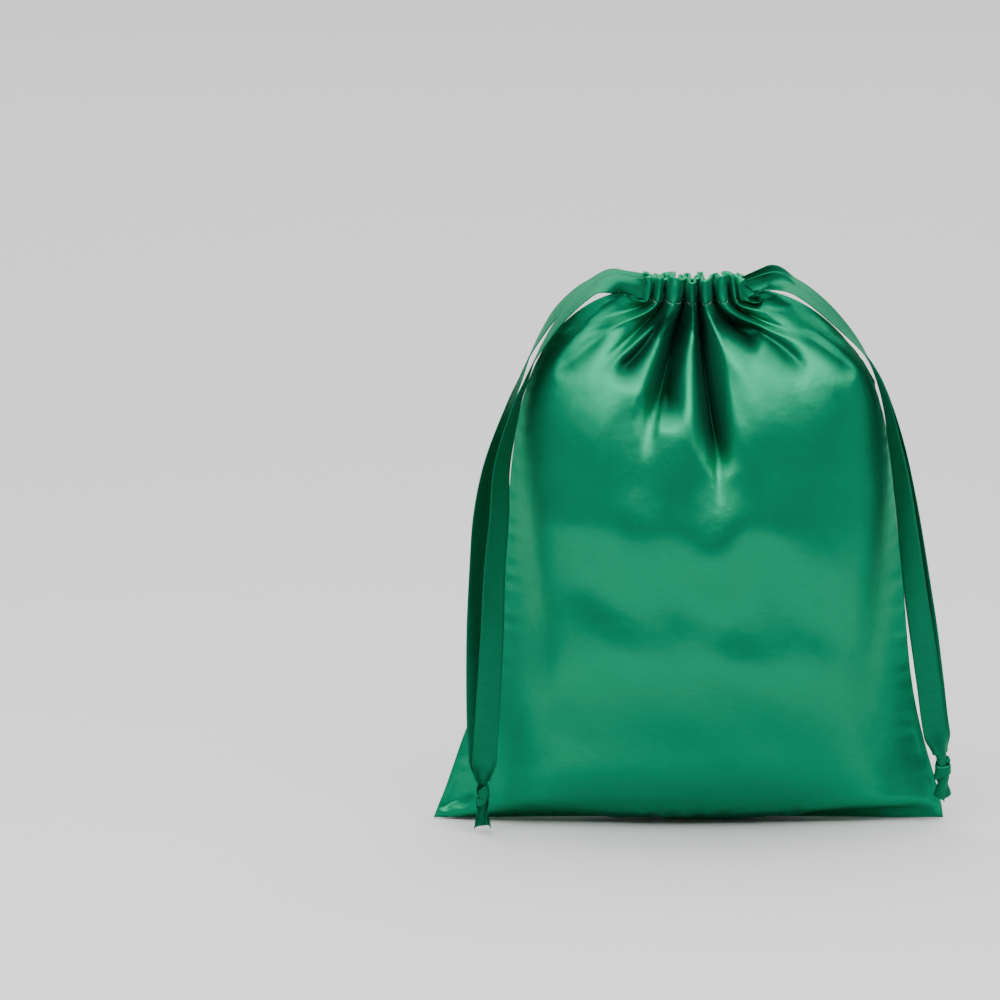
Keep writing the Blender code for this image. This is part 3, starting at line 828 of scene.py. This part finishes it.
def turned_ply(grid, up, side):
    """The ply folded down inside the casing, from the turned edge."""
    from_top = np.linspace(0.0, TURNING, TURNED_ROWS + 1)[1:]
    places = np.interp(PANEL_HEIGHT - from_top, up, np.arange(len(up)))
    facing = unit(catmull(outward(grid, side, True), places))
    fold = np.sqrt(np.clip(1 - (1 - from_top / TURN_RADIUS) ** 2, 0, 1))
    fold[from_top > TURN_RADIUS] = 1
    closing = smoothstep(from_top, CASING - 0.005, CASING)
    apart = EDGE_GAP + (PLY_GAP - EDGE_GAP) * fold * (1 - closing)
    return catmull(grid, places) - facing * apart[:, None, None], from_top


def build_panel(side):
    grid, across, up = fine_panel(side)
    grid = casing_shape(grid, up, side)
    inner, from_top = turned_ply(grid, up, side)
    heights = np.concatenate([up, PANEL_HEIGHT + from_top])
    return {"grid": grid, "inner": inner, "whole": np.concatenate([grid, inner]),
            "uv": np.stack(np.meshgrid(across, heights), -1), "across": across, "up": up}


def open_seams():
    """Parts the panels beside the seams, where the allowances lie inside."""
    front, back = panels[FRONT], panels[BACK]
    across, up = np.meshgrid(front["across"], front["up"])
    edge = np.minimum(np.minimum(across, PANEL_WIDTH - across), up)
    want = (0.0014 * smoothstep(edge, 0.0, 0.0028) * (1 - smoothstep(edge, 0.009, 0.018))
            * smoothstep(up, PANEL_HEIGHT - SLIT, PANEL_HEIGHT - SLIT - 0.02))
    half = (back["grid"] - front["grid"])[..., 1] / 2
    more = np.maximum(want - half, 0)
    for side, panel in panels.items():
        panel["grid"][..., 1] += side * more
        panel["whole"][:len(more)] = panel["grid"]


settle_seams(sack)
panels = {side: build_panel(side) for side in (FRONT, BACK)}
open_seams()
PLACES = {FRONT: "front", BACK: "back"}


def join_lip(obj):
    """Bakes the piece's placement into its points."""
    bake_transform(obj)


def make_panel_piece(side):
    panel = panels[side]
    place = PLACES[side]
    whole = panel["whole"]
    obj = thick_sheet(f"{place}_satin_panel", whole, panel["uv"], CLOTH,
                      [SATIN, REVERSE], flip=side == BACK)
    # Painted shadow along the long folds, stored on the points to darken the satin's colour.
    painted_shade = fold_depth_and_painted_shadow(whole[..., 0], whole[..., 2], side)[1].ravel()
    layer = obj.data.attributes.new("painted_fold_shadow", "FLOAT", "POINT")
    layer.data.foreach_set("value", np.tile(painted_shade, 2).astype(np.float32))
    join_lip(obj)
    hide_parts(f"{place}_panel", f"{place}_casing")
    return obj


# ---- stitches
STITCH_PITCH = 0.003
STITCH_LENGTH = 0.0024


def capsule(start, end, lift, radius, sides=6):
    """A short raised thread from start to end, sunk in the cloth at its ends."""
    middle = (start + end) / 2
    run = unit(end - start)
    out = unit(lift - run * np.dot(lift, run))
    across = np.cross(run, out)
    rings = []
    for share in np.linspace(-1, 1, 7):
        size = radius * math.sqrt(max(1 - abs(share) ** 3, 0.03))
        rise = radius * (0.75 - 0.9 * share * share)
        centre = middle + (end - start) / 2 * share + out * rise
        rings.append([centre + size * (math.cos(a) * out + math.sin(a) * across)
                      for a in np.linspace(0, 2 * math.pi, sides, endpoint=False)])
    return np.array(rings)


def stitch_mesh(name, lines, pitch, length, radius):
    """Rows of stitches; each line is (points on the cloth, its normals)."""
    points, faces, uvs = [], [], []
    for line, facing in lines:
        along = path_lengths(line)
        place = pitch * 0.6
        while place + length < along[-1]:
            start, end, lift = (
                np.array([np.interp(s, along, column) for column in values.T])
                for s, values in ((place, line), (place + length, line),
                                  (place + length / 2, facing)))
            rings = capsule(start, end, unit(lift), radius)
            count, sides = rings.shape[:2]
            faces += tube_faces(count, sides, len(points))
            points += rings.reshape(-1, 3).tolist()
            uvs += [(place + length * r / count, radius * s)
                    for r in range(count) for s in range(sides)]
            place += pitch
    return make_object(name, points, faces, uvs, [THREAD])


def make_stitches(side):
    panel = panels[side]
    place = PLACES[side]
    row = np.interp(PANEL_HEIGHT - CASING, panel["up"], np.arange(len(panel["up"])))
    outer = catmull(panel["grid"], [row])[0]
    facing = catmull(outward(panel["grid"], side), [row])[0]
    inner = panel["inner"][int(round(CASING / TURNING * TURNED_ROWS)) - 1]
    obj = stitch_mesh(f"{place}_casing_stitches", [(outer, facing), (inner, -facing)],
                      STITCH_PITCH, STITCH_LENGTH, 0.00024)
    join_lip(obj)
    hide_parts(f"{place}_casing_stitch")
    return obj


# ---- seams
def seam_strip(name, grid, room, nodes, flip):
    """Both allowances, overlocked together, lying inside beside a seam."""
    thickness = np.clip(room * 1.5, 0.00008, 0.0009)[..., None]
    normals = grid_normals(grid) * (-1 if flip else 1)
    steps = np.linspace(0, ALLOWANCE, len(grid))
    uv = np.stack(np.meshgrid(path_lengths(grid[0]), steps), -1)
    obj = thick_sheet(name, grid + normals * thickness / 2, uv, thickness, [OVERLOCK], flip)
    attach(obj, "sack")
    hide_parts(*nodes)
    return obj


LOOP_PITCH = 0.0011         # along the seam, from one overlock thread to the next


def overlock_loops(name, grid, room):
    """The zigzag of overlock thread over the allowances' raw edge."""
    along = path_lengths(grid[0])
    places = np.arange(0.5, along[-1] / LOOP_PITCH - 1) * LOOP_PITCH
    rows = np.interp(places, along, np.arange(len(along)))
    centre = []
    for k, row in enumerate(rows):
        step = (0.99 if k % 2 else 0.55) * (len(grid) - 1)
        beside = catmull(grid.transpose(1, 0, 2), [row])[0]
        spare = np.interp(row, np.arange(len(along)), room[3]) - 0.0002
        spare = np.clip(spare, 0.0, 0.0007) * (1 if (k // 2) % 2 else -1)
        centre.append(catmull(beside, [step])[0] + np.array([0, spare, 0]))
    return tube(name, np.array(centre), 0.00018, [OVERLOCK])


def tube(name, line, radius, materials, sides=5):
    run = unit(np.gradient(line, axis=0))
    across = unit(np.cross(run, np.array([0.12, 1.0, 0.21])))
    out = np.cross(across, run)
    angles = np.linspace(0, 2 * math.pi, sides, endpoint=False)
    rings = [[p + radius * (math.cos(a) * u + math.sin(a) * v) for a in angles]
             for p, u, v in zip(line, across, out)]
    along = path_lengths(line)
    uvs = [[(s, radius * k) for k in range(sides)] for s in along]
    return sweep(name, rings, uvs, materials)


def make_seams():
    """The seam allowances inside the sack, and their overlocking."""
    front, back = panels[FRONT]["grid"], panels[BACK]["grid"]
    middle = (front + back) / 2
    room = (back - front)[..., 1] / 2 - CLOTH
    top = int(np.searchsorted(panels[FRONT]["up"], PANEL_HEIGHT - SLIT)) - 4
    steps = 0.3 + np.linspace(0, ALLOWANCE, 6) / PANEL_WIDTH * COLUMNS
    pieces = []
    for label, places in (("left", steps), ("right", COLUMNS - steps)):
        grid = catmull(middle.transpose(1, 0, 2), places)[:, 4:top:2]
        spare = catmull(room.T, places)[:, 4:top:2]
        strip = seam_strip(f"{label}_seam_allowance", grid, spare,
                           [f"{label}_side_seam"], label == "left")
        loops = overlock_loops(f"{label}_seam_overlocking", grid, spare)
        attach(loops, "sack")
        pieces += [strip, loops]
    rows = 0.3 + np.linspace(0, ALLOWANCE, 6) / panels[FRONT]["up"][1]
    grid, spare = (catmull(values, rows)[:, 5:-5:2] for values in (middle, room))
    return pieces + [seam_strip("bottom_seam_allowance", grid, spare, ["bottom_seam"], False)]


# ---- ribbons
RING_POINTS = 11


def ribbon_ring(centre, run, across, curl, width=RIBBON_WIDTH):
    """Points round a ribbon's section, which curls about its length."""
    out = np.cross(run, across)
    share = np.linspace(-0.5, 0.5, RING_POINTS)
    curl = max(curl, 1e-3)
    radius = width / curl
    sine, cosine = np.sin(share * curl), np.cos(share * curl)
    side, rise = radius * sine, radius * (1 - cosine)
    rise = rise - rise.mean()
    selvedge = np.exp(-((0.5 - np.abs(share)) / 0.05) ** 2)
    half = RIBBON_THICK / 2 * (1 + 0.7 * selvedge)
    top = np.stack([side - half * sine, rise + half * cosine], 1)
    low = np.stack([side + half * sine, rise - half * cosine], 1)
    ring = np.concatenate([top, low[::-1]])
    return centre + ring[:, :1] * across + ring[:, 1:] * out


def ring_uv(place):
    share = np.linspace(0, RIBBON_WIDTH, RING_POINTS)
    share = np.concatenate([share, share[::-1]])
    return np.stack([share, np.full_like(share, place)], 1)


def ribbon_piece(name, rings, along):
    """A ribbon through the rings, which stand at the lengths along it."""
    return sweep(name, rings, [ring_uv(place) for place in along], [RIBBON])


def across_of(run, turn, tilt):
    """Which way a ribbon's width lies, for its turn about +Z and its tilt."""
    angle, up = math.radians(turn), math.radians(tilt)
    across = np.array([math.sin(angle) * math.cos(up),
                       math.cos(angle) * math.cos(up), math.sin(up)])
    return unit(across - np.dot(across, run) * run)


STRAND_START = 0.0345
OPENED_AT = 0.016           # path length over which a bunched ribbon opens
LEAN = 18.0                 # how far the arches tip towards the front, degrees


def strand_line(route):
    """One strand's centre line from where it leaves the casing to its knot."""
    whole = smooth_curve(np.array(route) / (10000, 10000, 10000, 1), 260)
    return whole[int(np.argmax(np.abs(whole[:, 0]) >= STRAND_START)):]


def strand_rings(line, along):
    """A strand's rings: bunched at the casing and the knot, open between."""
    run = unit(np.gradient(line[:, :3], axis=0))
    opening = smoothstep(along, -0.006, OPENED_AT)
    closing = smoothstep(along[-1] - along, 0.0, 0.012)
    lean = LEAN * smoothstep(line[:, 2], 0.215, 0.245)
    rings = []
    for k, place in enumerate(along):
        tilt = 88 * (1 - opening[k]) + lean[k] * opening[k]
        across = across_of(run[k], line[k, 3], tilt)
        ripple = 0.1 * math.sin(place / 0.021) + 0.22
        curl = ripple + 3.6 * (1 - opening[k]) + 3.4 * (1 - closing[k])
        rings.append(ribbon_ring(line[k, :3], run[k], across, curl))
    return rings


strands = {}
for (label, place), route in ROUTES.items():
    line = strand_line(route)
    along = path_lengths(line)
    rings = strand_rings(line, along)
    strands[label, place] = (ribbon_piece(f"{label}_ribbon_{place}", rings, along), line, rings)


# ---- knots and cut ends
TAIL_DROP = {"left": 0.0082, "right": 0.0078}
# Each knot's wound band: turns, half width, half depth, height, first angle, and
# half the band's own width.
KNOT_TURNS = {
    "left": (2.1, 0.0026, 0.0022, 0.0088, 0.4, 0.0021),
    "right": (1.75, 0.0034, 0.0028, 0.0056, -0.4, 0.0026),
}


def knot_band(label):
    """The turn of bunched ribbon that wraps the two strands at the knot."""
    centre = np.array(KNOTS[label])
    turns, wide, deep, tall, start, band = KNOT_TURNS[label]
    share = np.linspace(0, 1, 84)
    angle = start + MIRROR[label] * 2 * math.pi * turns * share
    line = np.stack([centre[0] + wide * np.cos(angle), centre[1] + deep * np.sin(angle),
                     centre[2] + tall * (0.5 - share) + 0.0014 * np.sin(angle + 0.6)], 1)
    tuck = smoothstep(share, 0.0, 0.1) * smoothstep(share, 1.0, 0.9)
    near = (line[:, :2] - centre[:2]) * (0.45 + 0.55 * tuck)[:, None]
    line[:, :2] = centre[:2] + near
    run = unit(np.gradient(line, axis=0))
    out = line - centre
    out[:, 2] = 0
    across = unit(np.cross(unit(out), run))
    out = np.cross(run, across)
    around = np.linspace(0, 2 * math.pi, 20, endpoint=False)
    rings, uvs = [], []
    for k, place in enumerate(share):
        half = band * (0.55 + 0.45 * tuck[k])
        thick = 0.00085 * (0.8 + 0.2 * math.sin(5 * place * math.pi))
        crease = 1 + 0.2 * np.cos(4 * around + 6 * place)
        rings.append(line[k] + np.cos(around)[:, None] * half * across[k]
                     + (np.sin(around) * crease)[:, None] * thick * out[k])
        uvs.append(np.stack([around * 0.0015, np.full(len(around), place * 0.04)], 1))
    return sweep(f"{label}_ribbon_knot_turns", rings, uvs, [RIBBON])


TAIL_SPREAD = 0.0013        # how far a cut end stands off the knot's middle


def knot_core(label, place, side):
    """A bunched ribbon passing down through the knot into its cut end."""
    centre = np.array(KNOTS[label])
    start = strands[label, place][1][-1, :3]
    drop = TAIL_DROP[label]
    inside = centre + np.array([(0, side * 0.001, 0.004), (side * 0.0006, side * 0.0008, 0.003),
                                (-side * 0.0008, side * 0.0008, -0.003)])
    foot = centre - (0, 0, KNOT_HEIGHT / 2 + 0.0003)
    below = foot + np.array([
        (0, side * 0.0009, 0), (side * 0.0008, side * TAIL_SPREAD * 0.7, -drop * 0.5),
        (side * 0.0014, side * TAIL_SPREAD, -drop * 0.97)])
    return smooth_curve([start, (start + inside[0]) / 2, *inside[1:], *below], 60)


SLANTED = 14                # rings over which a cut end becomes slanted


def cut_end(label, place, side):
    """One strand's way through the knot and its slanted end below it."""
    line = knot_core(label, place, side)
    run = unit(np.gradient(line, axis=0))
    bottom = KNOTS[label][2] - KNOT_HEIGHT / 2
    slant = np.linspace(-1, 1, RING_POINTS)
    slant = np.concatenate([slant, slant[::-1]]) * side
    rings = []
    for k, point in enumerate(line):
        flare = smoothstep(bottom + 0.001 - point[2], 0.0, 0.0105)
        across = across_of(run[k], ROUTES[label, place][-1][3] + side * 14 * flare, 0)
        curl = 3.62 * (1 - flare) + 2.9 * flare
        ring = ribbon_ring(point, run[k], across, curl, RIBBON_WIDTH * 0.7)
        fade = smoothstep(k, len(line) - SLANTED, len(line) - 1)
        rings.append(ring + run[k] * (0.0013 * fade * slant)[:, None])
    return ribbon_piece(f"{label}_ribbon_{place}_end", rings, path_lengths(line))


for label in ("left", "right"):
    body = f"{label}_loop"
    knot = knot_band(label)
    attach(knot, body)
    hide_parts(f"{label}_ribbon_knot")
    for side, place in PLACES.items():
        obj, line, _ = strands[label, place]
        end = cut_end(label, place, side)
        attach(end, body)
        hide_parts(f"{label}_ribbon_{place}_tail")
        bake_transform(obj)
        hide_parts(f"{label}_ribbon_{place}_lead", f"{label}_ribbon_{place}_strand")


# ---- ribbons inside the casings
def channel_rings(side, depth, columns):
    """Rings of a ribbon standing in a casing, depth behind its outer face."""
    panel = panels[side]
    heights = np.linspace(CASING - 0.0012, 0.0011, RING_POINTS)
    rows = np.interp(PANEL_HEIGHT - heights, panel["up"], np.arange(len(panel["up"])))
    sheet = catmull(panel["grid"], rows)[:, columns]
    facing = unit(catmull(outward(panel["grid"], side, True), rows)[:, columns])
    near, far = (sheet - facing * (depth + half) for half in (-0.00012, 0.00012))
    return np.concatenate([near, far[::-1]]).transpose(1, 0, 2)


def merge_rings(first, last, count):
    return [first + (last - first) * smoothstep(t, 0, 1)
            for t in np.linspace(0, 1, count + 2)[1:-1]]


def aligned(ring, target):
    """The target ring turned or reversed so that its points face the ring's."""
    best, found = None, None
    for reverse in (False, True):
        candidate = target[::-1] if reverse else target
        for shift in (0, RING_POINTS, RING_POINTS - 1, RING_POINTS + 1, 1, -1):
            rolled = np.roll(candidate, shift, axis=0)
            miss = np.abs(rolled - ring).sum()
            if best is None or miss < best:
                best, found = miss, rolled
    return found


def bight_rings(exit_sign, side, reach):
    """Half of a ribbon's turn round the far end of the neck."""
    x = -exit_sign * 0.0286
    rings = []
    for angle in np.linspace(0.95, 0, 9) * math.pi / 2:
        centre = np.array([x - exit_sign * reach * 0.55 * math.cos(angle),
                           side * reach * math.sin(angle), BIGHT_HEIGHT])
        run = unit(np.array([-exit_sign * reach * 0.55 * math.sin(angle),
                             -side * reach * math.cos(angle), 0.0]))
        rings.append(ribbon_ring(centre, run, np.array([0, 0, 1.0]), 3.9))
    return rings


# How deep each ribbon lies in its casing, and how far out its turn reaches.
RIBBON_DEPTH = {"left": 0.00055, "right": 0.00092}
BIGHT_REACH = {"left": 0.0056 + 0.00068, "right": 0.0056 - 0.00068}


def run_pieces(label, side):
    """One ribbon's stretch in one casing: to its strand, and to its bight."""
    place, exit_sign = PLACES[side], MIRROR[label]
    columns = np.arange(0, COLUMNS + 1)[::-exit_sign]
    middle = len(columns) // 2
    rings = channel_rings(side, RIBBON_DEPTH[label], columns)
    target = aligned(rings[0], strands[label, place][2][0])
    outer = [target] + merge_rings(target, rings[0], 6) + list(rings[:middle + 1])
    turn = [rings[-1]]
    for ring in bight_rings(exit_sign, side, BIGHT_REACH[label]):
        turn.append(aligned(turn[-1], ring))
    inner = list(rings[middle:]) + merge_rings(rings[-1], turn[1], 4) + turn[1:]
    for name, group, sign, start in (("run", outer, exit_sign, 0.0345),
                                     ("bight", inner, -exit_sign, 0.032)):
        along = path_lengths(np.array(group).mean(axis=1))
        obj = ribbon_piece(f"{label}_ribbon_{place}_{name}_piece", group, along)
        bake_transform(obj)
    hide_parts(f"{label}_ribbon_{place}_run")
    if side == FRONT:
        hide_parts(f"{label}_ribbon_bight")


for label in ("left", "right"):
    for side in (FRONT, BACK):
        run_pieces(label, side)

seams = make_seams()
for side in (FRONT, BACK):
    satin_panel = make_panel_piece(side)
    stitches = make_stitches(side)


# ---- floor and lights
FLOOR_RADIUS = 4.2
COVE_RADIUS = 1.5
WALL_HEIGHT = 4.0


def stage_plane():
    """A pale round floor that curves up into a wall beyond the camera."""
    profile = [(0.3, 0.0), (FLOOR_RADIUS, 0.0)]
    profile += [(FLOOR_RADIUS + COVE_RADIUS * math.sin(angle), COVE_RADIUS * (1 - math.cos(angle)))
                for angle in np.linspace(0, math.pi / 2, 9)[1:]]
    profile.append((FLOOR_RADIUS + COVE_RADIUS, WALL_HEIGHT))
    around = np.linspace(0, 2 * math.pi, 64, endpoint=False)
    points = [(r * math.cos(a), r * math.sin(a), z) for r, z in profile for a in around]
    faces = [face[::-1] for face in tube_faces(len(profile), 64)[:-1]]
    obj = plain_object("studio_floor", points, faces)
    obj.data.shade_smooth()
    made, tree, shader, _ = new_material("studio_white")
    set_inputs(tree, shader, (("Base Color", (0.56, 0.56, 0.56, 1)), ("Roughness", 0.8)))
    obj.data.materials.append(made)


def softbox(name, location, target, size, power):
    data = bpy.data.lights.new(name, "AREA")
    configure(data, shape="RECTANGLE", size=size[0], size_y=size[1], energy=power)
    obj = bpy.data.objects.new(name, data)
    scene.collection.objects.link(obj)
    obj.location = location
    look_at(obj, target)


def add_lights():
    world = bpy.data.worlds.new("studio")
    world.use_nodes = True
    set_inputs(world.node_tree, world.node_tree.nodes["Background"],
               (("Color", (1, 1, 1, 1)), ("Strength", 0.08)))
    scene.world = world
    middle = (0, 0, 0.14)
    softbox("overhead", (-0.05, -0.66, 1.2), middle, (2.3, 0.9), 36)
    softbox("key_left", (-1.2, -0.9, 0.9), middle, (0.4, 0.6), 1.6)
    softbox("fill_right", (1.5, -0.3, 0.6), middle, (0.3, 0.9), 1.0)
    softbox("ceiling", (0.0, 2.2, 3.6), (0, 2.2, 0.0), (7.0, 5.0), 440)


stage_plane()
add_lights()
